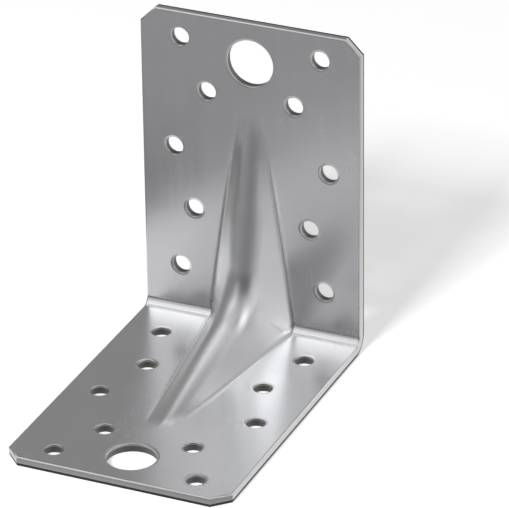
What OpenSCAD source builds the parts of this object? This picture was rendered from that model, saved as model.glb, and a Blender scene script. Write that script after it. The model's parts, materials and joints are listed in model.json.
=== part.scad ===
// Ribbed corner brace: one strip of galvanised sheet, punched, bent to a right angle and
// stiffened by a rib pressed inwards across the bend. Millimetres, +Z up.
// The origin is under the middle of the base flange's overall box.

/* [Sheet] */
// Length of the base flange, from the back of the wall flange to the free end
base_leg = 90; // [84:1:120]
// Height of the wall flange, from the underside of the base flange to the free end
wall_leg = 90; // [84:1:120]
// Width of the strip
strip_w = 62; // [56:1:90]
// Thickness of the sheet
sheet_t = 2.5; // [1.5:0.25:3.5]
// Inside radius of the bend
bend_r = 2.5; // [1.5:0.25:5]
// Length cut off each edge at the free corners
corner_cut = 4.3; // [1:0.1:6]

/* [Nail holes] */
// Diameter of the nail holes
nail_d = 5; // [3:0.1:6.5]
// First row, distance from the free end
row_1_end = 7.2; // [6:0.1:10]
// First row, distance of its holes from the centre line
row_1_side = 19.7; // [15:0.1:24]
// Second row, distance from the free end
row_2_end = 21.6; // [18:0.1:24]
// Second row, distance of its holes from the centre line
row_2_side = 12.3; // [8:0.1:15]
// Third row, distance from the free end
row_3_end = 39.1; // [32:0.1:42]
// Third row, distance of its holes from the centre line
row_3_side = 22; // [18:0.1:23]
// Fourth row, distance from the free end
row_4_end = 56.4; // [49:0.1:58]
// Fourth row, distance of its holes from the centre line
row_4_side = 16.5; // [15:0.1:20]
// Fifth row, distance from the free end
row_5_end = 74; // [66:0.1:74]
// Fifth row, distance of its holes from the centre line
row_5_side = 20.6; // [18:0.1:23]

/* [Bolt hole] */
// Diameter of the bolt hole in each flange
bolt_d = 13; // [8:0.5:15]
// Distance of the bolt hole from the free end, on the centre line
bolt_end = 11.5; // [10:0.1:15]

/* [Rib] */
// How far the rib reaches along each flange, from the back of the other one
rib_reach = 64; // [50:1:66]
// Width of the rib where it crosses the bend
rib_bend_w = 24; // [20:0.5:26]
// Width of the rib at its shallow ends
rib_end_w = 7; // [6:0.5:12]
// Angle at which the crest climbs away from each flange
rib_slope = 11.5; // [6:0.5:13]
// Radius of the crest where it fades into the flange
rib_fade_r = 30; // [20:5:100]
// Radius of the crest where it passes round the bend
rib_corner_r = 15; // [8:0.5:18]
// Radius inside the crest, on the hollow side of the sheet
rib_crest_in_r = 1.5; // [0.5:0.25:3]
// Radius of the foot where a flank leaves the flange
rib_foot_r = 1.5; // [0.5:0.25:3]

/* [Hidden] */
$fn = 96;

// Row places on a flange, as distance from the free end and from the centre line
nail_rows = [
    [row_1_end, row_1_side],
    [row_2_end, row_2_side],
    [row_3_end, row_3_side],
    [row_4_end, row_4_side],
    [row_5_end, row_5_side],
];
// Half of the right angle between the flanges
half_bend = 45;
// The bend's centre lies this far from the outer face of each flange
bend_c = sheet_t + bend_r;
// How far the pressed shell runs on inside the flanges round it, and how far under their faces
grip = 1.5;
under = 0.03;
// The window under the rib is this much narrower than the rib, and this much shorter
window_in = 0.3;
window_short = 2.5;
// Cutting tools run this far past the sheet
past = 1;

// The crest seen from the side: a fade-in arc, a straight climb and an arc round the bend
crest_in = rib_reach * sin(rib_slope) + (sheet_t + rib_fade_r) * cos(rib_slope) - rib_fade_r;
crest_c = (crest_in + rib_corner_r) / (sin(rib_slope) + cos(rib_slope));
crest_r = rib_crest_in_r + sheet_t;

// Steps along one half of the rib and round its section
bend_steps = 7;
fan_steps = 8;
leg_steps = 20;
foot_steps = 3;
crest_steps = 5;
// Where a section is nearly flat its points still spread as on arcs of this angle
least_spread = 15;

// Half the rib's width where its foot stands at x on a flange
function rib_half_w(x) =
    let (run = min(1, max(0, (x - bend_c) / (rib_reach - bend_c))))
    (rib_bend_w + (rib_end_w - rib_bend_w) * run) / 2;

// Height of the crest over the flange at x, on a surface that lies depth under the inner face
function crest_height(x, depth) =
    let (
        fade_from = rib_reach - (rib_fade_r + depth) * sin(rib_slope),
        climb = (crest_in - depth - x * sin(rib_slope)) / cos(rib_slope) - sheet_t + depth,
        off_end = max(0, min(rib_fade_r, rib_reach - x)),
        fade = rib_fade_r + depth - sqrt(pow(rib_fade_r + depth, 2) - pow(off_end, 2))
    )
    x < fade_from ? climb : fade;

// Distance from the crest's centre to the crest, and to the flange or the bend, at an angle
// that is half_bend across the bend and 0 square to the flange
function crest_ray(angle, depth) =
    (rib_corner_r + depth) / (angle > rib_slope ? 1 : cos(rib_slope - angle));
function foot_ray(angle, depth) =
    let (
        apart = crest_c - bend_c,
        r = bend_r + depth,
        off = half_bend - angle,
        flat_from = atan2(apart, apart + r)
    )
    angle < flat_from
        ? (apart + r) / cos(angle)
        : apart * sqrt(2) * cos(off) + sqrt(r * r - 2 * pow(apart * sin(off), 2));

// Stations along half the rib: foot x, foot z, the section's tilt, its height and half width
function fan_station(angle, depth) =
    let (
        ray = foot_ray(angle, depth),
        x = crest_c - ray * sin(angle)
    )
    [x, crest_c - ray * cos(angle), angle, ray - crest_ray(angle, depth), rib_half_w(x)];
function leg_station(x, depth) =
    [x, sheet_t - depth, 0, crest_height(x, depth), rib_half_w(x)];
function half_stations(depth) =
    let (
        wide = atan2(crest_c - bend_c, crest_c - bend_c + bend_r + sheet_t),
        turn = (half_bend - wide) / bend_steps,
        last = rib_reach - crest_c
    )
    concat(
        [for (i = [0 : bend_steps - 1]) fan_station(half_bend - turn * i, depth)],
        [for (i = [0 : fan_steps - 1]) fan_station(wide * (1 - i / fan_steps), depth)],
        [for (i = [0 : leg_steps]) leg_station(crest_c + last * i / leg_steps, depth)],
        [leg_station(rib_reach + grip, depth)]
    );

// Lean of a section's flanks, for the radii of its foot and top arcs taken together
function flank_lean(half_w, height, both) =
    atan2(half_w, both - height)
    - atan2(sqrt(pow(half_w, 2) + pow(both - height, 2) - both * both), both);

// Height of a section at y: a foot arc, a straight flank and a top arc
function section_height(y, half_w, height, lean, foot_r, top_r) =
    y > half_w - foot_r * sin(lean) ? foot_r - sqrt(pow(foot_r, 2) - pow(half_w - y, 2))
    : y > top_r * sin(lean)
        ? foot_r * (1 - cos(lean)) + (half_w - foot_r * sin(lean) - y) * tan(lean)
        : height - top_r + sqrt(pow(top_r, 2) - pow(y, 2));

// Half of a section from the foot inwards, with its points close together on the arcs
function half_section(half_w, height, depth) =
    let (
        foot_r = rib_foot_r + depth,
        top_r = crest_r - depth,
        lean = flank_lean(half_w, height, foot_r + top_r),
        spread = max(lean, least_spread),
        ys = concat(
            [for (i = [0 : foot_steps]) half_w - foot_r * sin(spread * i / foot_steps)],
            [for (i = [crest_steps : -1 : 1]) top_r * sin(spread * i / crest_steps)]
        )
    )
    concat(
        [[half_w + grip, 0]],
        [for (y = ys) [y, section_height(y, half_w, height, lean, foot_r, top_r)]]
    );

// A whole section line at a station, in space, on the base side or turned to the wall side
function section_line(station, depth, on_wall) =
    let (
        half = half_section(station[4], station[3], depth),
        n = len(half),
        flat = concat(
            [for (p = half) [-p[0], p[1]]],
            [[0, station[3]]],
            [for (i = [n - 1 : -1 : 0]) half[i]]
        )
    )
    [for (p = flat)
        let (
            x = station[0] + p[1] * sin(station[2]),
            z = station[1] + p[1] * cos(station[2])
        )
        on_wall ? [z, p[0], x] : [x, p[0], z]];

// All section lines of one surface, from the wall end over the bend to the base end
function surface_lines(depth) =
    let (half = half_stations(depth), n = len(half))
    concat(
        [for (i = [n - 1 : -1 : 1]) section_line(half[i], depth, true)],
        [for (i = [0 : n - 1]) section_line(half[i], depth, false)]
    );

function backwards(list) = [for (i = [len(list) - 1 : -1 : 0]) list[i]];

// The pressed rib as a closed shell of the sheet's thickness
module rib_shell() {
    front = surface_lines(under);
    back = surface_lines(sheet_t - under);
    rings = [for (i = [0 : len(front) - 1]) concat(front[i], backwards(back[i]))];
    n = len(rings[0]);
    last = len(rings) - 1;
    sides = [for (i = [0 : last - 1], j = [0 : n - 1])
        let (a = i * n + j, b = i * n + (j + 1) % n)
        each [[a, b, a + n], [b, b + n, a + n]]];
    ends = [for (j = [0 : n / 2 - 2])
        let (k = n - 1 - j, far = last * n)
        each [[j, k, j + 1], [k, k - 1, j + 1],
            [far + j, far + j + 1, far + k], [far + k, far + j + 1, far + k - 1]]];
    polyhedron([for (ring = rings) each ring], concat(sides, ends), convexity = 6);
}

// A flange lying along X from the bend to its free end, with its free corners cut
module flange(leg) {
    side = strip_w / 2;
    linear_extrude(sheet_t)
        polygon([
            [bend_c, -side], [leg - corner_cut, -side], [leg, corner_cut - side],
            [leg, side - corner_cut], [leg - corner_cut, side], [bend_c, side],
        ]);
}

module bend() {
    translate([bend_c, strip_w / 2, bend_c])
        rotate([90, 0, 0])
            linear_extrude(strip_w)
                intersection() {
                    difference() {
                        circle(bend_c);
                        circle(bend_r);
                    }
                    translate([-bend_c, -bend_c]) square(bend_c);
                }
}

// The opening that the pressed rib bridges, on one flange and across the bend
module rib_window() {
    end = rib_reach - window_short;
    wide = rib_half_w(0) - window_in;
    narrow = rib_half_w(end) - window_in;
    translate([0, 0, -past])
        linear_extrude(bend_c + past)
            polygon([
                [-past, -wide], [bend_c, -wide], [end, -narrow],
                [end, narrow], [bend_c, wide], [-past, wide],
            ]);
}

// Punched holes of a flange lying along X
module holes(leg) {
    for (row = nail_rows, side = [-1, 1])
        translate([leg - row[0], side * row[1], -past])
            cylinder(d = nail_d, h = sheet_t + 2 * past);
    translate([leg - bolt_end, 0, -past])
        cylinder(d = bolt_d, h = sheet_t + 2 * past);
}

// Turns what lies along the base flange up to the wall flange
module on_wall() {
    mirror([1, 0, -1]) children();
}

module bracket() {
    color([0.64, 0.65, 0.67])
        translate([-base_leg / 2, 0, 0])
            difference() {
                union() {
                    difference() {
                        union() {
                            bend();
                            flange(base_leg);
                            on_wall() flange(wall_leg);
                        }
                        rib_window();
                        on_wall() rib_window();
                    }
                    rib_shell();
                }
                holes(base_leg);
                on_wall() holes(wall_leg);
            }
}

bracket();
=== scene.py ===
import json
import math

import bmesh
import bpy
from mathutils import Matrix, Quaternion, Vector
from mathutils.geometry import delaunay_2d_cdt


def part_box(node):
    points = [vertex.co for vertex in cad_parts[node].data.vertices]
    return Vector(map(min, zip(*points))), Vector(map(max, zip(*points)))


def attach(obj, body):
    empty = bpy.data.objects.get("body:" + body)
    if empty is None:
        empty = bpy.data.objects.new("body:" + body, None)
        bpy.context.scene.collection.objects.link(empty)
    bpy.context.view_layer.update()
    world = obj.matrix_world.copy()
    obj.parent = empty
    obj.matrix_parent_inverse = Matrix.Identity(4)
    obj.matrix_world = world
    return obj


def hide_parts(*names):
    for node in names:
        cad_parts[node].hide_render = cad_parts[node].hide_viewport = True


bl_info = {
    "name": "Ribbed Corner Brace",
    "version": (1, 0, 0),
    "blender": (4, 5, 0),
    "location": "3D View > Sidebar > Brace",
    "description": "Dresses the packed corner brace: pressed sheet, punched holes and studio stage",
    "category": "Mesh",
}

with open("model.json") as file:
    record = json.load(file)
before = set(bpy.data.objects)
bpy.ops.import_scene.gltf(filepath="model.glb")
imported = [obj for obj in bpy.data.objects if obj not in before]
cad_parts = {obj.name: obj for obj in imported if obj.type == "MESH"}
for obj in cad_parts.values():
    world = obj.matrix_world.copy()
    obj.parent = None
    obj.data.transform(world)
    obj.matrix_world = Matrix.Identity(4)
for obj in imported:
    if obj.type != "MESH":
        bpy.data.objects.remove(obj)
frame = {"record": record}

MM = 0.001
NODE = "bracket"

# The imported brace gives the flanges' lengths and the strip's width, its mounts give the holes
LOW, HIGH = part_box(NODE)
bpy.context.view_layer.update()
MOUNTS = {mount["name"]: mount for mount in frame["record"]["mounts"]}
BOLT_DIAMETER = 2 * MOUNTS["base_bolt"]["dims"]["r_mm"] * MM
NAIL_DIAMETER = 2 * MOUNTS["base_nails_1"]["dims"]["hole_r_mm"] * MM
THICKNESS = MOUNTS["base_bolt"]["dims"]["length_mm"] * MM

# Names of the mesh attributes that mark cut metal, torn metal and the pressed rib
CUT_MARK = "cut"
TORN_MARK = "torn"
RIB_MARK = "rib"

# How finely the sheet is made: along the bend, along the flanges, and across half the rib
BEND_STEP = 0.35 * MM
LEG_STEP = 0.7 * MM
RIB_COLUMNS = 48
# The rib's patch runs on past its foot by these steps, the last one also past its ends
PATCH_STEPS = (0.25 * MM, 0.5 * MM, 0.8 * MM, 1.1 * MM, 1.5 * MM)
PATCH_MARGIN = PATCH_STEPS[-1]
# Steps of the quarter turn in which a face rolls over into an edge or a bore
ROLL_STEPS = 6
# Steps of a rim's dish, as (share of the lip's width, share of the dish's depth)
DISH_STEPS = ((0.85, 0.1), (0.6, 0.6))
# The noise of the zinc's clouds mostly lies between these values
CLOUD_RANGE = (0.3, 0.7)
# Turns a mark times its own complement, at most a quarter, into a share of up to 1, for the painted
# highlight along the rolled edge
ARRIS_PEAK = 4.0
# Share of its fall-back that a torn zone has at its start
TEAR_START = 0.6
# Edges that turn by more than this angle look sharp
SHARP_FROM = math.radians(40)
# Points of one part this close together are one point, and parts are welded within the other
SAME_POINT = 0.001 * MM
WELD = 0.002 * MM


def length_property(name, description, default):
    return bpy.props.FloatProperty(
        name=name, description=description, default=default, min=0.0,
        unit="LENGTH", subtype="DISTANCE", precision=5,
    )


def angle_property(name, description, degrees):
    return bpy.props.FloatProperty(
        name=name, description=description, default=math.radians(degrees),
        unit="ROTATION", subtype="ANGLE",
    )


def colour_property(name, description, default):
    return bpy.props.FloatVectorProperty(
        name=name, description=description, default=default, min=0.0, max=1.0,
        size=3, subtype="COLOR",
    )


def share_property(name, description, default):
    return bpy.props.FloatProperty(
        name=name, description=description, default=default, min=0.0, max=1.0, subtype="FACTOR",
    )


class SheetSizes(bpy.types.PropertyGroup):
    base_length: length_property(
        "Base Length", "From the back of the wall flange to the base's free end", HIGH.x - LOW.x)
    wall_height: length_property(
        "Wall Height", "From the underside of the base to the wall's free end", HIGH.z - LOW.z)
    strip_width: length_property("Strip Width", "Width of the strip of sheet", HIGH.y - LOW.y)
    thickness: length_property("Thickness", "Thickness of the sheet", THICKNESS)
    bend_radius: length_property("Bend Radius", "Radius inside the bend", 2.5 * MM)
    ease_length: length_property(
        "Ease Length", "How far from the bend the flanges still curve", 13 * MM)
    ease_lift: length_property(
        "Ease Lift", "How far that curve would lift the sheet at the bend", 0.8 * MM)
    corner_cut: length_property(
        "Corner Cut", "Length cut off each edge at a free corner", 4.3 * MM)
    edge_band: length_property(
        "Edge Band", "Width of the border of both faces that the edge is joined to", 0.8 * MM)
    edge_roll: length_property(
        "Edge Roll", "Radius that shearing leaves on the inner face's edge", 0.5 * MM)
    edge_shine: length_property(
        "Edge Shine", "Depth of the smooth zone of a sheared edge", 1.6 * MM)
    edge_tear: length_property(
        "Edge Tear", "How far the torn zone of a sheared edge falls back", 0.12 * MM)
    tear_run: length_property(
        "Tear Run", "Depth over which the smooth zone turns into the torn one", 0.15 * MM)
    burr: length_property("Burr", "Size of the burr on the outer face's edge", 0.08 * MM)


class RibSizes(bpy.types.PropertyGroup):
    reach: length_property("Reach", "How far the rib reaches along each flange", 64 * MM)
    bend_width: length_property("Width at the Bend", "Width of the rib across the bend", 24 * MM)
    end_width: length_property("Width at the Ends", "Width of the rib at its shallow ends", 7 * MM)
    slope: angle_property("Slope", "Angle at which the crest climbs from each flange", 11.5)
    fade_radius: length_property("Fade Radius", "Radius of the crest where it fades out", 30 * MM)
    corner_radius: length_property("Corner Radius", "Radius of the crest round the bend", 15 * MM)
    crest_radius: length_property(
        "Crest Radius", "Radius inside the crest, on the hollow side", 1.5 * MM)
    crest_rounding: length_property(
        "Crest Rounding", "How much the press rounds the crest beyond its own radius", 2 * MM)
    fullness: share_property(
        "Fullness", "Share of the widest arc that a shallow crest may take", 0.9)
    foot_radius: length_property(
        "Foot Radius", "Radius where a flank leaves the flange", 1.5 * MM)
    die_mark: length_property(
        "Die Mark", "Depth of the line that the die presses round the rib", 0.12 * MM)
    die_width: length_property("Die Mark Width", "Half width of that line", 0.5 * MM)
    mark_fade: length_property(
        "Mark Fade", "Length over which the die's marks fade in from the rib's ends", 24 * MM)


class HoleSizes(bpy.types.PropertyGroup):
    nail_diameter: length_property("Nail Hole", "Diameter of the nail holes", NAIL_DIAMETER)
    bolt_diameter: length_property("Bolt Hole", "Diameter of the bolt holes", BOLT_DIAMETER)
    lip: length_property("Lip", "Width of the rim that punching draws in", 0.7 * MM)
    dish: length_property("Dish", "How far the rim dips before it turns into the bore", 0.08 * MM)
    roll: share_property("Roll", "Share of the lip that rolls over into the bore", 0.4)
    roll_depth: length_property("Roll Depth", "Depth of that roll", 0.2 * MM)
    shine: length_property("Bore Shine", "Depth of the smooth zone of a punched bore", 0.6 * MM)
    burr_depth: share_property("Burr Depth", "Share of the bore that its burr takes", 0.03)
    burr_width: share_property("Burr Width", "Share of the lip that the burr takes", 0.15)
    segments: bpy.props.IntProperty(
        name="Segments", description="Facets round a hole, an even number", default=48, min=12)


class FinishColours(bpy.types.PropertyGroup):
    zinc: colour_property("Zinc", "Colour of the zinc coat seen straight on", (0.335, 0.333, 0.354))
    zinc_side: colour_property(
        "Zinc Aslant", "Colour of the zinc coat seen along it", (0.975, 0.98, 0.985))
    slant: share_property("Slant", "How soon the coat turns from one colour to the other", 0.7)
    cloudiness: share_property("Cloudiness", "How much lighter and darker its clouds are", 0.1)
    steel: colour_property(
        "Steel", "Colour of the smooth zone of a sheared edge", (0.04, 0.038, 0.034))
    steel_slant: share_property("Steel Slant", "Share of that turn that a sheared edge takes", 0.7)
    # Painted highlight: how far the rolled edge's colour is lightened into a bright line
    arris_painted_highlight: share_property("Arris Painted Highlight", "How much brighter the rolled edge is", 0.3)
    # Partly real torn steel, partly painted shade: kept near black so that the bores look shaded
    # inside
    torn_steel_and_shade: colour_property(
        "Torn Steel and Shade", "Colour of the torn zone of an edge", (0.05, 0.047, 0.043))
    # Share of the torn colour in a bore's rough zone, which also paints the shade inside the hole
    bore_tear_and_shade: share_property("Bore Tear and Shade", "How torn the rough zone of a bore is", 0.7)
    burr_tear: share_property("Burr Tear", "How torn an edge's burr is", 0.6)
    zinc_roughness: share_property("Zinc Roughness", "Roughness of the zinc coat", 0.25)
    roughness_spread: share_property("Roughness Spread", "How far it varies both ways", 0.04)
    rib_dulling: share_property("Rib Dulling", "Roughness that pressing adds on the rib", 0.12)
    steel_roughness: share_property("Edge Roughness", "Roughness of a sheared edge", 0.42)
    torn_dulling: share_property("Torn Dulling", "Roughness that tearing adds to it", 0.2)
    floor: colour_property("Floor", "Colour of the floor", (0.8, 0.8, 0.8))


class StageSizes(bpy.types.PropertyGroup):
    floor_size: length_property("Floor Size", "Half the width of the floor", 3.0)
    floor_glow: share_property("Floor Glow", "Share of the floor's white that it gives off", 0.5)
    world_level: share_property("World Level", "Strength of the light from all round", 0.27)
    lamp_distance: length_property("Lamp Distance", "From the brace to the panels", 1.4)
    caster_distance: length_property(
        "Caster Distance", "From the brace to the lamp that casts its shadow", 2.0)
    front: angle_property("Front", "Azimuth of the floor's front, 0 is in front of -Y", 113.957)
    front_edge: length_property("Front Edge", "Where the white floor ends in front", 54 * MM)
    left_edge: length_property("Left Edge", "Where the white floor ends on the left", 50 * MM)
    right_edge: length_property("Right Edge", "Where the white floor ends on the right", 86 * MM)
    edge_blend: length_property("Edge Blend", "Length over which the floor turns grey", 5 * MM)
    edge_spread: angle_property("Edge Spread", "Angle at which the floor's side edges open", 2.9)
    front_level: share_property("Front Level", "Level of the floor past its front edge", 0.6)
    left_level: share_property(
        "Left Level", "Level of the floor past its left edge, in front", 0.45)
    back_level: share_property(
        "Back Level", "Level of the floor past its left edge, behind", 0.2)
    back_run: length_property("Back Run", "Half the length over which that level turns", 45 * MM)
    right_level: share_property("Right Level", "Level of the floor past its right edge", 0.9)


class ViewSizes(bpy.types.PropertyGroup):
    azimuth: angle_property(
        "Azimuth", "Camera's place round the brace, 0 is in front of -Y", 113.957)
    elevation: angle_property("Elevation", "Camera's height above the horizon", 27.599)
    roll: angle_property("Roll", "Camera's turn about its own axis", -0.685)
    distance: length_property("Distance", "From the camera to the point it aims at", 1114.1 * MM)
    lens: bpy.props.FloatProperty(
        name="Lens", description="Focal length in millimetres on a 36 mm sensor", default=310.95)
    aim: bpy.props.FloatVectorProperty(
        name="Aim", description="Point that the camera aims at", size=3, subtype="XYZ",
        unit="LENGTH", default=(-6.73 * MM, 16.62 * MM, 43.87 * MM))


class BraceSettings(bpy.types.PropertyGroup):
    sheet: bpy.props.PointerProperty(type=SheetSizes)
    rib: bpy.props.PointerProperty(type=RibSizes)
    holes: bpy.props.PointerProperty(type=HoleSizes)
    finish: bpy.props.PointerProperty(type=FinishColours)
    view: bpy.props.PointerProperty(type=ViewSizes)
    stage: bpy.props.PointerProperty(type=StageSizes)


# The strip laid out flat: u runs along it from the middle of the bend, positive on the base,
# y runs across it, and depth is measured into the sheet from the inner face.

def bend_centre(sheet):
    return sheet.thickness + sheet.bend_radius


def half_bend(sheet):
    return (sheet.bend_radius + sheet.thickness / 2) * math.pi / 4


def strip_u(sheet, along):
    """Place on the laid-out base flange of a point that lies along from the back of the wall."""
    return half_bend(sheet) + along - bend_centre(sheet)


def strip_point(sheet, u, depth):
    """Distance from the back of the wall and height of a point of the bent, unribbed strip."""
    centre, bend = bend_centre(sheet), half_bend(sheet)
    if abs(u) < bend:
        turn = math.pi / 4 * (1 + u / bend)
        radius = sheet.bend_radius + depth
        return centre - radius * math.cos(turn), centre - radius * math.sin(turn)
    along = centre + abs(u) - bend
    rise = sheet.thickness - depth
    return (along, rise) if u > 0 else (rise, along)


class RibForm:
    """The crest's line from the side, and the section across it, at any depth in the sheet."""

    def __init__(self, sheet, rib):
        self.sheet = sheet
        self.rib = rib
        slope = rib.slope
        self.reach_in = (
            rib.reach * math.sin(slope)
            + (sheet.thickness + rib.fade_radius) * math.cos(slope) - rib.fade_radius)
        self.centre = (self.reach_in + rib.corner_radius) / (math.sin(slope) + math.cos(slope))

    def half_width(self, along):
        start = bend_centre(self.sheet)
        run = min(1, max(0, (along - start) / (self.rib.reach - start)))
        return (self.rib.bend_width * (1 - run) + self.rib.end_width * run) / 2

    def foot_share(self, along, y):
        """1 on the line where a flank meets the flange, falling to 0 beside it and at its ends."""
        if along < bend_centre(self.sheet):
            return 0.0
        off = (abs(y) - self.half_width(along)) / self.rib.die_width
        return self.mark_share(along) * math.exp(-off * off)

    def mark_share(self, along):
        """1 along the rib, falling to 0 at its shallow ends."""
        return min(1.0, max(0.0, (self.rib.reach - along) / self.rib.mark_fade))

    def crest_height(self, along, depth):
        """Height of the crest over the flange where the sections stand square to it."""
        slope, fade = self.rib.slope, self.rib.fade_radius + depth
        if along < self.rib.reach - fade * math.sin(slope):
            climb = (self.reach_in - depth - along * math.sin(slope)) / math.cos(slope)
            return climb - self.sheet.thickness + depth
        off_end = max(0.0, self.rib.reach - along)
        return fade - math.sqrt(fade ** 2 - off_end ** 2)

    def crest_ray(self, angle, depth):
        """Distance from the fan's centre to the crest at an angle that is 0 square to a flange."""
        slope = self.rib.slope
        return (self.rib.corner_radius + depth) / (1 if angle > slope else math.cos(slope - angle))

    def section_height(self, across, half_width, height, depth):
        """Height of a section with a foot arc, a straight flank and a top arc."""
        if across >= half_width or height <= 0:
            return 0.0
        foot = self.rib.foot_radius + depth
        fullest = (half_width ** 2 + height ** 2) / (2 * height)
        pressed = self.rib.crest_radius + self.rib.crest_rounding + self.sheet.thickness - depth
        top = min(pressed, self.rib.fullness * fullest - foot)
        both = foot + top
        span = math.sqrt(half_width ** 2 + (both - height) ** 2 - both ** 2)
        lean = math.atan2(half_width, both - height) - math.atan2(span, both)
        if across > half_width - foot * math.sin(lean):
            return foot - math.sqrt(foot ** 2 - (half_width - across) ** 2)
        if across > top * math.sin(lean):
            flank = half_width - foot * math.sin(lean) - across
            return foot * (1 - math.cos(lean)) + flank * math.tan(lean)
        return height - top + math.sqrt(top ** 2 - across ** 2)

    def inside(self, u, y):
        """1 on the rib, fading out at its shallow ends, and 0 on the flat of the flanges."""
        along, _ = strip_point(self.sheet, abs(u), 0)
        return self.mark_share(along) if abs(y) < self.half_width(along) else 0.0

    def point(self, u, y, depth):
        """The bent and ribbed strip's point in the brace's own frame."""
        along, rise = strip_point(self.sheet, abs(u), depth)
        half_width = self.half_width(along)
        if depth == 0:
            rise -= self.rib.die_mark * self.foot_share(along, y)
        if along >= self.centre:
            lift = self.section_height(
                abs(y), half_width, self.crest_height(along, depth), depth)
            rise += lift
        else:
            to_centre = Vector((self.centre - along, self.centre - rise))
            angle = math.atan2(to_centre.x, to_centre.y)
            height = to_centre.length - self.crest_ray(angle, depth)
            lift = self.section_height(abs(y), half_width, height, depth)
            shift = to_centre.normalized() * lift
            along, rise = along + shift.x, rise + shift.y
        heel = LOW.x
        return Vector((heel + along, y, rise)) if u > 0 else Vector((heel + rise, y, along))


def spaced(start, end, step):
    """Evenly spaced values from start to end, both included."""
    count = max(1, round((end - start) / step))
    return [start + (end - start) * i / count for i in range(count + 1)]


def bend_stations(sheet):
    return spaced(-half_bend(sheet), half_bend(sheet), BEND_STEP)


def rib_stations(sheet, rib):
    """Stations along the strip at which the rib is lofted, close together where it curves."""
    last = strip_u(sheet, rib.reach + PATCH_MARGIN)
    leg = spaced(half_bend(sheet), last, LEG_STEP)[1:]
    return [-u for u in reversed(leg)] + bend_stations(sheet) + leg


def rib_columns(form, u):
    """Places across the rib at a station, from one side's foot over the crest to the other's."""
    along, _ = strip_point(form.sheet, abs(u), 0)
    half_width = form.half_width(along)
    half = [half_width * i / RIB_COLUMNS for i in range(1, RIB_COLUMNS + 1)]
    half += [half_width + step for step in PATCH_STEPS]
    return [-y for y in reversed(half)] + [0.0] + half


def outline(sheet, inset):
    """The laid-out strip's outline, counter-clockwise, moved inwards by inset."""
    end = strip_u(sheet, sheet.base_length)
    start = strip_u(sheet, sheet.wall_height)
    side = sheet.strip_width / 2
    corner = sheet.corner_cut + inset * (math.sqrt(2) - 1)
    along = [-(start - corner)] + bend_stations(sheet) + [end - corner]
    return (
        [(u, inset - side) for u in along]
        + [(end - inset, corner - side), (end - inset, side - corner)]
        + [(u, side - inset) for u in reversed(along)]
        + [(inset - start, side - corner), (inset - start, corner - side)]
    )


def quarter_turn():
    """Angles of the quarter turn from a face into an edge, each with its share of the turn."""
    return [(math.pi / 2 * i / ROLL_STEPS, i / ROLL_STEPS) for i in range(ROLL_STEPS + 1)]


def edge_profile(sheet, finish):
    """Steps of a sheared edge as (inset, depth, cut mark, torn mark), from face to face."""
    roll, shine, tear, burr = sheet.edge_roll, sheet.edge_shine, sheet.edge_tear, sheet.burr
    rolled = [
        (roll * (1 - math.sin(turn)), roll * (1 - math.cos(turn)), share, 0.0)
        for turn, share in quarter_turn()
    ]
    return [
        (sheet.edge_band, 0.0, 0.0, 0.0),
        *rolled,
        (0.0, shine, 1.0, 0.0),
        (tear * TEAR_START, shine + sheet.tear_run, 1.0, 1.0),
        (tear, sheet.thickness - burr, 1.0, 1.0),
        (tear + burr, sheet.thickness, 1.0, finish.burr_tear),
        (sheet.edge_band, sheet.thickness, 0.0, 0.0),
    ]


def hole_places(sheet):
    """Laid-out centres of the holes, as (u, y, diameter name), read from the brace's mounts."""
    places = []
    for name, mount in MOUNTS.items():
        x, _, z = mount["pos_m"]
        on_wall = name.startswith("wall")
        u = -strip_u(sheet, z) if on_wall else strip_u(sheet, x - LOW.x)
        if mount["kind"] == "bore":
            places.append((u, 0.0, "bolt_diameter"))
        if mount["kind"] == "bolt_pattern":
            spacing = mount["dims"].get("spacing_y_mm") or mount["dims"]["spacing_x_mm"]
            places += [(u, side * spacing * MM / 2, "nail_diameter") for side in (-1, 1)]
    return places


def circle(u, y, radius, segments):
    turns = [2 * math.pi * i / segments for i in range(segments)]
    return [(u + radius * math.cos(a), y + radius * math.sin(a)) for a in turns]


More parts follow.
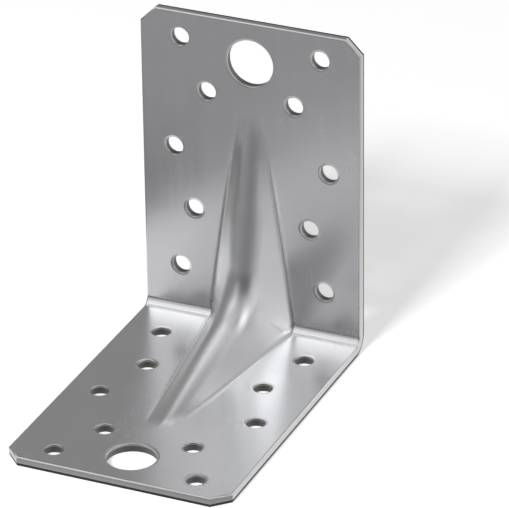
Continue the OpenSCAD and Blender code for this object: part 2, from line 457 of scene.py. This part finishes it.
class FlatPattern:
    """The laid-out strip's faces: a lofted patch for the rib and triangles round it."""

    def __init__(self, settings):
        self.sheet, self.rib, self.holes = settings.sheet, settings.rib, settings.holes
        self.form = RibForm(self.sheet, self.rib)
        self.points = []
        self.faces = []
        self.found = {}
        self.build()

    def index(self, point):
        key = (round(point[0] / SAME_POINT), round(point[1] / SAME_POINT))
        if key not in self.found:
            self.found[key] = len(self.points)
            self.points.append(point)
        return self.found[key]

    def patch(self):
        """Quads of the rib, and the loop of points round them."""
        stations = rib_stations(self.sheet, self.rib)
        rows = [[self.index((u, y)) for y in rib_columns(self.form, u)] for u in stations]
        for row, after in zip(rows, rows[1:]):
            for j in range(len(row) - 1):
                self.faces.append((row[j], after[j], after[j + 1], row[j + 1]))
        first, last = rows[0], rows[-1]
        return (
            [row[0] for row in rows] + last[1:-1]
            + [row[-1] for row in reversed(rows)] + first[-2:0:-1]
        )

    def build(self):
        rim = [self.index(p) for p in outline(self.sheet, self.sheet.edge_band)]
        patch = self.patch()
        loops = [rim, patch]
        rounds = []
        for u, y, name in hole_places(self.sheet):
            radius = getattr(self.holes, name) / 2 + self.holes.lip
            loops.append([self.index(p) for p in circle(u, y, radius, self.holes.segments)])
            rounds.append((u, y, radius))
        edges = [(a, b) for loop in loops for a, b in zip(loop, loop[1:] + loop[:1])]
        side = self.sheet.strip_width / 2 - self.sheet.edge_band
        for u in bend_stations(self.sheet):
            foot = rib_columns(self.form, u)[-1]
            edges += [(self.index((u, -side)), self.index((u, -foot))),
                      (self.index((u, foot)), self.index((u, side)))]
        flat = [Vector(p) / MM for p in self.points]
        inside_only, tolerance, keep_sources = 1, 1e-6, True
        places, _, faces, sources, _, _ = delaunay_2d_cdt(
            flat, edges, [], inside_only, tolerance, keep_sources)
        back = [self.index(tuple(p * MM)) if not s else s[0] for p, s in zip(places, sources)]
        inside_patch = PatchTest(self.form, rib_stations(self.sheet, self.rib)[-1])
        for face in faces:
            middle = sum((places[i] for i in face), Vector((0, 0))) * MM / len(face)
            if inside_patch(middle):
                continue
            if any((middle - Vector((u, y))).length < r for u, y, r in rounds):
                continue
            self.faces.append(tuple(back[i] for i in face))


class PatchTest:
    """Says whether a laid-out point lies in the rib's lofted patch."""

    def __init__(self, form, last):
        self.form = form
        self.last = last

    def __call__(self, point):
        if abs(point.x) > self.last:
            return False
        along, _ = strip_point(self.form.sheet, abs(point.x), 0)
        return abs(point.y) < self.form.half_width(along) + PATCH_MARGIN


def sheet_surfaces(settings, rim_meshes):
    """Both faces, the sheared outline and the punched rims, welded into one closed mesh."""
    pattern = FlatPattern(settings)
    form, sheet = pattern.form, settings.sheet
    made = bmesh.new()
    cut = made.verts.layers.float.new(CUT_MARK)
    torn = made.verts.layers.float.new(TORN_MARK)
    pressed = made.verts.layers.float.new(RIB_MARK)
    for depth in (0.0, sheet.thickness):
        corners = []
        for u, y in pattern.points:
            vert = made.verts.new(form.point(u, y, depth))
            vert[pressed] = form.inside(u, y)
            corners.append(vert)
        for face in pattern.faces:
            order = face if depth == 0 else tuple(reversed(face))
            made.faces.new([corners[i] for i in order])
    loops = []
    for inset, depth, cut_value, torn_value in edge_profile(sheet, settings.finish):
        loop = [made.verts.new(form.point(u, y, depth)) for u, y in outline(sheet, inset)]
        for vert in loop:
            vert[cut], vert[torn] = cut_value, torn_value
        loops.append(loop)
    for loop, after in zip(loops, loops[1:]):
        for i in range(len(loop)):
            j = (i + 1) % len(loop)
            made.faces.new((loop[i], after[i], after[j], loop[j]))
    for mesh in rim_meshes:
        corners = [made.verts.new(v.co) for v in mesh.vertices]
        marks = mesh.attributes
        for layer, name in ((cut, CUT_MARK), (torn, TORN_MARK)):
            for vert, mark in zip(corners, marks[name].data):
                vert[layer] = mark.value
        for polygon in mesh.polygons:
            made.faces.new([corners[i] for i in polygon.vertices])
    bmesh.ops.remove_doubles(made, verts=made.verts, dist=WELD)
    bmesh.ops.recalc_face_normals(made, faces=made.faces)
    return made


def new_socket(tree, name, kind, default=None, direction="INPUT"):
    socket = tree.interface.new_socket(name=name, in_out=direction, socket_type=kind)
    if default is not None:
        socket.default_value = default
    return socket


class Nodes:
    """Adds nodes to a tree and wires their inputs by name or number."""

    def __init__(self, tree):
        self.tree = tree

    def add(self, kind, inputs=None, **values):
        node = self.tree.nodes.new(kind)
        for name, value in values.items():
            setattr(node, name, value)
        for key, value in (inputs or {}).items():
            self.feed(node.inputs[key], value)
        return node

    def feed(self, socket, value):
        if isinstance(value, bpy.types.NodeSocket):
            self.tree.links.new(value, socket)
        elif isinstance(value, bpy.types.Node):
            self.tree.links.new(value.outputs[0], socket)
        else:
            socket.default_value = value

    def math(self, operation, first, second=0.0, third=0.0):
        kind = "ShaderNodeMath"
        node = self.add(kind, {0: first, 1: second, 2: third}, operation=operation)
        return node.outputs[0]


def set_curve(node, points):
    """Gives a Float Curve node its points, joined by straight lines."""
    curve = node.mapping.curves[0]
    while len(curve.points) < len(points):
        curve.points.new(0.5, 0.5)
    for point, (x, y) in zip(curve.points, points):
        point.location = (x, y)
        point.handle_type = "VECTOR"
    node.mapping.update()


def rim_tree(settings):
    """Node group that stands a punched rim on each point of the geometry it is given."""
    sheet, holes = settings.sheet, settings.holes
    tree = bpy.data.node_groups.new("punched_rims", "GeometryNodeTree")
    new_socket(tree, "Geometry", "NodeSocketGeometry")
    new_socket(tree, "Diameter", "NodeSocketFloat", NAIL_DIAMETER)
    new_socket(tree, "Thickness", "NodeSocketFloat", sheet.thickness)
    new_socket(tree, "Lip", "NodeSocketFloat", holes.lip)
    new_socket(tree, "Tear", "NodeSocketFloat", sheet.edge_tear)
    new_socket(tree, "Segments", "NodeSocketInt", holes.segments)
    new_socket(tree, "Finish", "NodeSocketMaterial")
    new_socket(tree, "Geometry", "NodeSocketGeometry", direction="OUTPUT")
    nodes = Nodes(tree)
    given = nodes.add("NodeGroupInput").outputs
    steps = rim_profile(settings)
    columns = nodes.math("ADD", given["Segments"], 1)
    grid = nodes.add("GeometryNodeMeshGrid", {
        "Size X": 1.0, "Size Y": 1.0, "Vertices X": columns, "Vertices Y": len(steps)})
    place = nodes.add("ShaderNodeSeparateXYZ", {0: nodes.add("GeometryNodeInputPosition")}).outputs
    turn = nodes.math("MULTIPLY", nodes.math("ADD", place["X"], 0.5), 2 * math.pi)
    run = nodes.math("ADD", place["Y"], 0.5)
    shares = [i / (len(steps) - 1) for i in range(len(steps))]

    def along_profile(number):
        node = nodes.add("ShaderNodeFloatCurve", {"Value": run})
        set_curve(node, [(share, step[number]) for share, step in zip(shares, steps)])
        return node.outputs[0]

    lip, tear, sunk, cut, torn = [along_profile(i) for i in range(5)]
    radius = nodes.math("MULTIPLY_ADD", given["Diameter"], 0.5,
                        nodes.math("MULTIPLY", lip, given["Lip"]))
    radius = nodes.math("ADD", radius, nodes.math("MULTIPLY", tear, given["Tear"]))
    drop = nodes.math("MULTIPLY", nodes.math("MULTIPLY", sunk, given["Thickness"]), -1.0)
    point = nodes.add("ShaderNodeCombineXYZ", {
        0: nodes.math("MULTIPLY", radius, nodes.math("COSINE", turn)),
        1: nodes.math("MULTIPLY", radius, nodes.math("SINE", turn)), 2: drop})
    marked = grid.outputs["Mesh"]
    for name, value in ((CUT_MARK, cut), (TORN_MARK, torn)):
        marked = nodes.add("GeometryNodeStoreNamedAttribute", {
            "Geometry": marked, "Name": name, "Value": value},
            data_type="FLOAT", domain="POINT").outputs[0]
    ring = nodes.add("GeometryNodeSetPosition", {"Geometry": marked, "Position": point})
    ring = nodes.add("GeometryNodeMergeByDistance", {"Geometry": ring, "Distance": SAME_POINT})
    lean = nodes.add("GeometryNodeInputNamedAttribute", {"Name": "lean"}, data_type="FLOAT_VECTOR")
    turned = nodes.add("FunctionNodeEulerToRotation", {0: lean.outputs[0]})
    stood = nodes.add("GeometryNodeInstanceOnPoints", {
        "Points": given["Geometry"], "Instance": ring, "Rotation": turned})
    real = nodes.add("GeometryNodeRealizeInstances", {"Geometry": stood})
    finished = nodes.add("GeometryNodeSetMaterial", {"Geometry": real, "Material": given["Finish"]})
    nodes.add("NodeGroupOutput", {0: finished})
    return tree


def rim_profile(settings):
    """Steps down a punched rim: lip share, tear share, depth share, cut mark, torn mark."""
    sheet, holes, finish = settings.sheet, settings.holes, settings.finish
    dish = holes.dish / sheet.thickness
    deep = holes.roll_depth / sheet.thickness
    shine = holes.shine / sheet.thickness
    tear_end = shine + sheet.tear_run / sheet.thickness
    dished = [(lip, 0.0, dish * share, 0.0, 0.0) for lip, share in DISH_STEPS]
    rolled = [
        (holes.roll * (1 - math.sin(turn)), 0.0, dish + deep * (1 - math.cos(turn)), share, 0.0)
        for turn, share in quarter_turn()
    ]
    return [
        (1.0, 0.0, 0.0, 0.0, 0.0),
        *dished,
        *rolled,
        (0.0, 0.0, shine, 1.0, 0.0),
        # The torn mark runs over most of the bore's depth, so its dark colour is also painted shade
        # inside the hole
        (0.0, TEAR_START, tear_end, 1.0, finish.bore_tear_and_shade),
        (0.0, 1.0, 1.0 - holes.burr_depth, 1.0, finish.bore_tear_and_shade),
        (holes.burr_width, 1.0, 1.0, 1.0, finish.bore_tear_and_shade * finish.burr_tear),
        (1.0, 0.0, 1.0, 0.0, 0.0),
    ]


def hole_points(sheet, name):
    """A mesh of one point for each hole of one diameter, with the turn that its rim takes."""
    wall_turn = (math.pi, -math.pi / 2, 0.0)
    places = [(u, y) for u, y, kind in hole_places(sheet) if kind == name]
    mesh = bpy.data.meshes.new(name)
    points, turns = [], []
    for u, y in places:
        along, rise = strip_point(sheet, u, 0.0)
        points.append((LOW.x + along, y, rise))
        turns.append(wall_turn if u < 0 else (0.0, 0.0, 0.0))
    mesh.from_pydata(points, [], [])
    lean = mesh.attributes.new("lean", "FLOAT_VECTOR", "POINT")
    for datum, turn in zip(lean.data, turns):
        datum.vector = turn
    return mesh


def plain_mesh(holder):
    """The evaluated object as a mesh without modifiers."""
    graph = bpy.context.evaluated_depsgraph_get()
    return bpy.data.meshes.new_from_object(holder.evaluated_get(graph))


def punched_rims(settings, finish):
    """One mesh of rims for each diameter of hole."""
    sheet, holes = settings.sheet, settings.holes
    tree = rim_tree(settings)
    sockets = {item.name: item.identifier for item in tree.interface.items_tree
               if item.in_out == "INPUT"}
    made = []
    for name in ("nail_diameter", "bolt_diameter"):
        holder = bpy.data.objects.new(name, hole_points(sheet, name))
        bpy.context.scene.collection.objects.link(holder)
        modifier = holder.modifiers.new("rims", "NODES")
        modifier.node_group = tree
        given = {
            "Diameter": getattr(holes, name), "Thickness": sheet.thickness, "Lip": holes.lip,
            "Tear": sheet.edge_tear, "Segments": holes.segments, "Finish": finish,
        }
        for label, value in given.items():
            modifier[sockets[label]] = value
        made.append(plain_mesh(holder))
        bpy.data.objects.remove(holder)
    return made


def grain_group():
    """Shader group of the zinc's cloudiness, faint rolling streaks and slow waves in the sheet."""
    tree = bpy.data.node_groups.new("zinc_grain", "ShaderNodeTree")
    new_socket(tree, "Cloud Size", "NodeSocketFloat", 60.0)
    new_socket(tree, "Streak Size", "NodeSocketFloat", 420.0)
    new_socket(tree, "Streak Stretch", "NodeSocketVector", (0.06, 1.0, 0.06))
    new_socket(tree, "Streak Share", "NodeSocketFloat", 0.4)
    new_socket(tree, "Wave Size", "NodeSocketFloat", 28.0)
    new_socket(tree, "Wave Depth", "NodeSocketFloat", 0.05 * MM)
    new_socket(tree, "Grain Size", "NodeSocketFloat", 2600.0)
    new_socket(tree, "Grain Depth", "NodeSocketFloat", 0.002 * MM)
    new_socket(tree, "Ease", "NodeSocketFloat", 0.0)
    new_socket(tree, "Tone", "NodeSocketFloat", direction="OUTPUT")
    new_socket(tree, "Normal", "NodeSocketVector", direction="OUTPUT")
    nodes = Nodes(tree)
    given = nodes.add("NodeGroupInput").outputs
    place = nodes.add("ShaderNodeTexCoord").outputs["Object"]
    cloud = nodes.add("ShaderNodeTexNoise", {
        "Vector": place, "Scale": given["Cloud Size"], "Detail": 5.0, "Roughness": 0.55})
    drawn = nodes.add("ShaderNodeVectorMath", {0: place, 1: given["Streak Stretch"]},
                      operation="MULTIPLY")
    streak = nodes.add("ShaderNodeTexNoise", {
        "Vector": drawn, "Scale": given["Streak Size"], "Detail": 3.0})
    cloud_share = nodes.math("SUBTRACT", 1.0, given["Streak Share"])
    tone = nodes.math("MULTIPLY_ADD", streak.outputs[0], given["Streak Share"],
                      nodes.math("MULTIPLY", cloud.outputs[0], cloud_share))
    wave = nodes.add("ShaderNodeTexNoise", {
        "Vector": place, "Scale": given["Wave Size"], "Detail": 1.0})
    grain = nodes.add("ShaderNodeTexNoise", {
        "Vector": place, "Scale": given["Grain Size"], "Detail": 2.0})
    height = nodes.math("MULTIPLY_ADD", wave.outputs[0], given["Wave Depth"],
                        nodes.math("MULTIPLY", grain.outputs[0], given["Grain Depth"]))
    height = nodes.math("ADD", height, given["Ease"])
    bump = nodes.add("ShaderNodeBump", {"Strength": 1.0, "Distance": 1.0, "Height": height})
    nodes.add("NodeGroupOutput", {"Tone": tone, "Normal": bump})
    return tree


def bend_ease(nodes, sheet):
    """Height by which the flanges still rise towards the bend, over a short way from it."""
    place = nodes.add("ShaderNodeTexCoord").outputs["Object"]
    axes = nodes.add("ShaderNodeSeparateXYZ", {0: place}).outputs
    along = nodes.math("MAXIMUM", nodes.math("SUBTRACT", axes["X"], LOW.x), axes["Z"])
    off = nodes.math("SUBTRACT", along, bend_centre(sheet))
    left = nodes.math("MULTIPLY_ADD", off, -1 / sheet.ease_length, 1.0)
    left = nodes.math("MAXIMUM", left, 0.0)
    rib = nodes.add("ShaderNodeAttribute", attribute_name=RIB_MARK).outputs["Fac"]
    lift = nodes.math("MULTIPLY", nodes.math("MULTIPLY", left, left), sheet.ease_lift)
    return nodes.math("MULTIPLY", lift, nodes.math("SUBTRACT", 1.0, rib))


def blend_colour(nodes, share, first, second):
    """Blend of two colours, which are sockets 6 and 7 of a Mix node, its output 2 being theirs."""
    return nodes.add("ShaderNodeMix", {0: share, 6: first, 7: second}, data_type="RGBA").outputs[2]


def blend_value(nodes, share, first, second):
    """Blend of two values, which are sockets 2 and 3 of a Mix node."""
    return nodes.add("ShaderNodeMix", {0: share, 2: first, 3: second}, data_type="FLOAT").outputs[0]


def rgba(colour, shade=1.0):
    return (colour[0] * shade, colour[1] * shade, colour[2] * shade, 1.0)


def cloudy_value(nodes, tone, low, high):
    """Value that follows the zinc's clouds from low to high."""
    return nodes.add("ShaderNodeMapRange", {
        "Value": tone, "From Min": CLOUD_RANGE[0], "From Max": CLOUD_RANGE[1],
        "To Min": low, "To Max": high}).outputs[0]


def metal_material(name, finish, sheet, grain):
    """Zinc-coated steel: zinc on the faces, smooth and torn bare steel on the cut edges, with a
    painted highlight on the rolled edge and painted shade in the bores' dark torn zones.
    """
    material = bpy.data.materials.new(name)
    material.use_nodes = True
    tree = material.node_tree
    tree.nodes.clear()
    nodes = Nodes(tree)
    grained = nodes.add("ShaderNodeGroup", node_tree=grain)
    nodes.feed(grained.inputs["Ease"], bend_ease(nodes, sheet))
    cut = nodes.add("ShaderNodeAttribute", attribute_name=CUT_MARK).outputs["Fac"]
    torn = nodes.add("ShaderNodeAttribute", attribute_name=TORN_MARK).outputs["Fac"]
    pressed = nodes.add("ShaderNodeAttribute", attribute_name=RIB_MARK).outputs["Fac"]
    aslant = nodes.add("ShaderNodeLayerWeight", {"Blend": finish.slant}).outputs["Facing"]

    clouds = cloudy_value(nodes, grained.outputs["Tone"], 0.0, 1.0)
    zinc = blend_colour(nodes, clouds, rgba(finish.zinc, 1 - finish.cloudiness),
                        rgba(finish.zinc, 1 + finish.cloudiness))
    zinc = blend_colour(nodes, aslant, zinc, rgba(finish.zinc_side))
    bare = nodes.math("MULTIPLY", aslant, finish.steel_slant)
    steel = blend_colour(nodes, bare, rgba(finish.steel), rgba(finish.zinc_side))
    colour = blend_colour(nodes, cut, zinc, steel)
    # Painted highlight: the rolled band between face and cut is lightened towards the aslant zinc
    # into a bright line
    arris = nodes.math("MULTIPLY", nodes.math("SUBTRACT", 1.0, cut), cut)
    arris = nodes.math("MULTIPLY", arris, ARRIS_PEAK * finish.arris_painted_highlight)
    colour = blend_colour(nodes, arris, colour, rgba(finish.zinc_side))
    # Torn zones take the near-black torn colour: torn metal on the edges, and painted shade in the
    # bores as well
    colour = blend_colour(nodes, torn, colour, rgba(finish.torn_steel_and_shade))

    spread = finish.roughness_spread
    rough = cloudy_value(nodes, grained.outputs["Tone"], finish.zinc_roughness - spread,
                         finish.zinc_roughness + spread)
    rough = nodes.math("MULTIPLY_ADD", pressed, finish.rib_dulling, rough)
    edge_rough = nodes.math("MULTIPLY_ADD", torn, finish.torn_dulling, finish.steel_roughness)
    shader = nodes.add("ShaderNodeBsdfPrincipled", {
        "Base Color": colour, "Metallic": 1.0,
        "Roughness": blend_value(nodes, cut, rough, edge_rough),
        "Normal": grained.outputs["Normal"]})
    nodes.add("ShaderNodeOutputMaterial", {"Surface": shader})
    return material


def seen_directly(nodes):
    """1 for rays that show the background: from the camera, and off metal or through glass."""
    path = nodes.add("ShaderNodeLightPath").outputs
    seen = nodes.math("MAXIMUM", path["Is Camera Ray"], path["Is Glossy Ray"])
    return nodes.math("MAXIMUM", seen, path["Is Transmission Ray"])


def floor_material(colour, stage):
    """Pale floor that keeps shadows, white round the brace and greyer further out."""
    material = bpy.data.materials.new("pale_floor")
    material.use_nodes = True
    tree = material.node_tree
    tree.nodes.clear()
    nodes = Nodes(tree)
    place = nodes.add("ShaderNodeTexCoord").outputs["Object"]
    front, spread = math.degrees(stage.front), math.degrees(stage.edge_spread)

    def along(azimuth, start, end, first, last):
        """Value that turns from first to last between two distances out along an azimuth."""
        away = nodes.add("ShaderNodeVectorMath", {0: place, 1: direction(azimuth, 0)},
                         operation="DOT_PRODUCT").outputs["Value"]
        return nodes.add("ShaderNodeMapRange", {
            "Value": away, "From Min": start, "From Max": end,
            "To Min": first, "To Max": last}).outputs[0]

    left_level = along(
        front, -stage.back_run, stage.back_run, stage.back_level, stage.left_level)
    edges = (
        (front, stage.front_edge, stage.front_level),
        (front - 90 + spread, stage.left_edge, left_level),
        (front + 90 - spread, stage.right_edge, stage.right_level),
    )
    level = 1.0
    for azimuth, edge, end_level in edges:
        fall = along(azimuth, edge, edge + stage.edge_blend, 1.0, end_level)
        level = nodes.math("MINIMUM", level, fall)
    shade = nodes.add("ShaderNodeVectorMath", {0: rgba(colour)[:3], "Scale": level},
                      operation="SCALE").outputs[0]
    glow = nodes.math("MULTIPLY", seen_directly(nodes), stage.floor_glow)
    strength = nodes.math("MULTIPLY", glow, level)
    matt = nodes.add("ShaderNodeBsdfDiffuse", {"Color": shade})
    lit = nodes.add("ShaderNodeEmission", {"Color": (1, 1, 1, 1), "Strength": strength})
    both = nodes.add("ShaderNodeAddShader", {0: matt, 1: lit})
    nodes.add("ShaderNodeOutputMaterial", {"Surface": both})
    return material


def plain_world(level):
    """The studio's plain level of light from all round."""
    world = bpy.data.worlds.new("studio")
    bpy.context.scene.world = world
    world.use_nodes = True
    back = world.node_tree.nodes["Background"]
    back.inputs["Color"].default_value = (1, 1, 1, 1)
    back.inputs["Strength"].default_value = level


def direction(azimuth, elevation):
    """Unit vector from the brace towards a place in the studio, given in degrees."""
    a, e = math.radians(azimuth), math.radians(elevation)
    return Vector((math.sin(a) * math.cos(e), -math.cos(a) * math.cos(e), math.sin(e)))


def softbox(name, azimuth, elevation, wide, tall, level, far, in_metal=True, on_floor=False):
    """An area lamp that faces the brace, with its level as a mirror would show it."""
    lamp = bpy.data.lights.new(name, "AREA")
    lamp.shape = "RECTANGLE"
    lamp.size = wide
    lamp.size_y = tall
    lamp.energy = level * math.pi * wide * tall
    holder = bpy.data.objects.new(name, lamp)
    bpy.context.scene.collection.objects.link(holder)
    middle = Vector((0.0, 0.0, HIGH.z / 2))
    out = direction(azimuth, elevation)
    holder.location = middle + out * far
    holder.rotation_euler = out.to_track_quat("Z", "Y").to_euler()
    holder.visible_glossy = in_metal
    holder.visible_diffuse = on_floor
    return holder


def stage_mesh(name, corners, material):
    mesh = bpy.data.meshes.new(name)
    mesh.from_pydata(corners, [], [tuple(range(len(corners)))])
    mesh.materials.append(material)
    holder = bpy.data.objects.new(name, mesh)
    bpy.context.scene.collection.objects.link(holder)
    return holder


class BRACE_OT_stage(bpy.types.Operator):
    """Set the camera, the pale floor and the studio light"""
    bl_idname = "brace.stage"
    bl_label = "Set Stage"

    def execute(self, context):
        settings = context.scene.brace
        stage = settings.stage
        self.place_camera(context, settings.view)
        half = stage.floor_size
        corners = [(-half, -half, 0.0), (half, -half, 0.0), (half, half, 0.0), (-half, half, 0.0)]
        stage_mesh("pale_floor", corners, floor_material(settings.finish.floor, stage))
        plain_world(stage.world_level)
        self.hang_panels(stage.lamp_distance)
        softbox("shadow_caster", azimuth=84, elevation=40, wide=0.4, tall=0.4, level=55.0,
                far=stage.caster_distance, in_metal=False, on_floor=True)
        context.scene.view_settings.view_transform = "Standard"
        return {"FINISHED"}

    def hang_panels(self, far):
        """Hang the panels that only the metal shows, all at one distance, round the brace."""
        softbox("front_panel", azimuth=60, elevation=38, wide=0.55, tall=1.1, level=1.05, far=far)
        softbox("left_panel", azimuth=30, elevation=48, wide=0.6, tall=0.6, level=0.8, far=far)
        softbox("camera_side", azimuth=112, elevation=48, wide=0.9, tall=0.6, level=0.6, far=far)
        softbox("right_panel", azimuth=162, elevation=42, wide=1.3, tall=0.9, level=1.1, far=far)
        softbox("right_high", azimuth=182, elevation=46, wide=0.7, tall=0.6, level=2.1, far=far)
        softbox("right_low", azimuth=162, elevation=9, wide=1.5, tall=0.65, level=1.3, far=far)
        softbox("back_panel", azimuth=232, elevation=24, wide=1.3, tall=1.1, level=0.45, far=far)
        softbox("back_corner", azimuth=241, elevation=18, wide=0.45, tall=0.45, level=1.2, far=far)
        softbox("overhead", azimuth=30, elevation=76, wide=1.5, tall=1.5, level=0.8, far=far)

    def place_camera(self, context, view):
        lens = bpy.data.cameras.new("camera")
        lens.lens = view.lens
        lens.clip_start = 0.01
        lens.clip_end = 20.0
        camera = bpy.data.objects.new("camera", lens)
        context.scene.collection.objects.link(camera)
        back = direction(math.degrees(view.azimuth), math.degrees(view.elevation))
        camera.location = Vector(view.aim) + back * view.distance
        camera.rotation_mode = "QUATERNION"
        camera.rotation_quaternion = back.to_track_quat("Z", "Y") @ Quaternion((0, 0, 1), view.roll)
        context.scene.camera = camera


class BRACE_OT_pressed_sheet(bpy.types.Operator):
    """Press the ribbed sheet, punch its holes and give it its zinc finish"""
    bl_idname = "brace.pressed_sheet"
    bl_label = "Press Sheet"

    def execute(self, context):
        settings = context.scene.brace
        zinc = metal_material("galvanised_zinc", settings.finish, settings.sheet, grain_group())
        rims = punched_rims(settings, zinc)
        made = sheet_surfaces(settings, rims)
        if any(not edge.is_manifold for edge in made.edges):
            raise RuntimeError("the pressed sheet has open edges")
        mesh = bpy.data.meshes.new("pressed_sheet")
        made.to_mesh(mesh)
        made.free()
        mesh.materials.append(zinc)
        for rim in rims:
            bpy.data.meshes.remove(rim)
        mesh.shade_smooth()
        mesh.set_sharp_from_angle(angle=SHARP_FROM)
        piece = bpy.data.objects.new("pressed_sheet", mesh)
        context.scene.collection.objects.link(piece)
        weighted = piece.modifiers.new("even_faces", "WEIGHTED_NORMAL")
        weighted.keep_sharp = True
        weighted.weight = 50
        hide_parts(NODE)
        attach(piece, "root")
        return {"FINISHED"}


class BRACE_PT_panel(bpy.types.Panel):
    """Lists the steps that dress the brace"""
    bl_idname = "BRACE_PT_panel"
    bl_label = "Corner Brace"
    bl_space_type = "VIEW_3D"
    bl_region_type = "UI"
    bl_category = "Brace"

    def draw(self, context):
        layout = self.layout
        settings = context.scene.brace
        groups = (settings.sheet, settings.rib, settings.holes, settings.finish, settings.view,
                  settings.stage)
        for group in groups:
            box = layout.box()
            for name in group.__annotations__:
                box.prop(group, name)
        layout.operator(BRACE_OT_pressed_sheet.bl_idname)
        layout.operator(BRACE_OT_stage.bl_idname)


CLASSES = (
    SheetSizes,
    RibSizes,
    HoleSizes,
    FinishColours,
    StageSizes,
    ViewSizes,
    BraceSettings,
    BRACE_OT_stage,
    BRACE_OT_pressed_sheet,
    BRACE_PT_panel,
)


def register():
    for item in CLASSES:
        bpy.utils.register_class(item)
    bpy.types.Scene.brace = bpy.props.PointerProperty(type=BraceSettings)


def unregister():
    del bpy.types.Scene.brace
    for item in reversed(CLASSES):
        bpy.utils.unregister_class(item)


def main():
    register()
    bpy.ops.brace.pressed_sheet()
    bpy.ops.brace.stage()


if __name__ == "__main__":
    main()
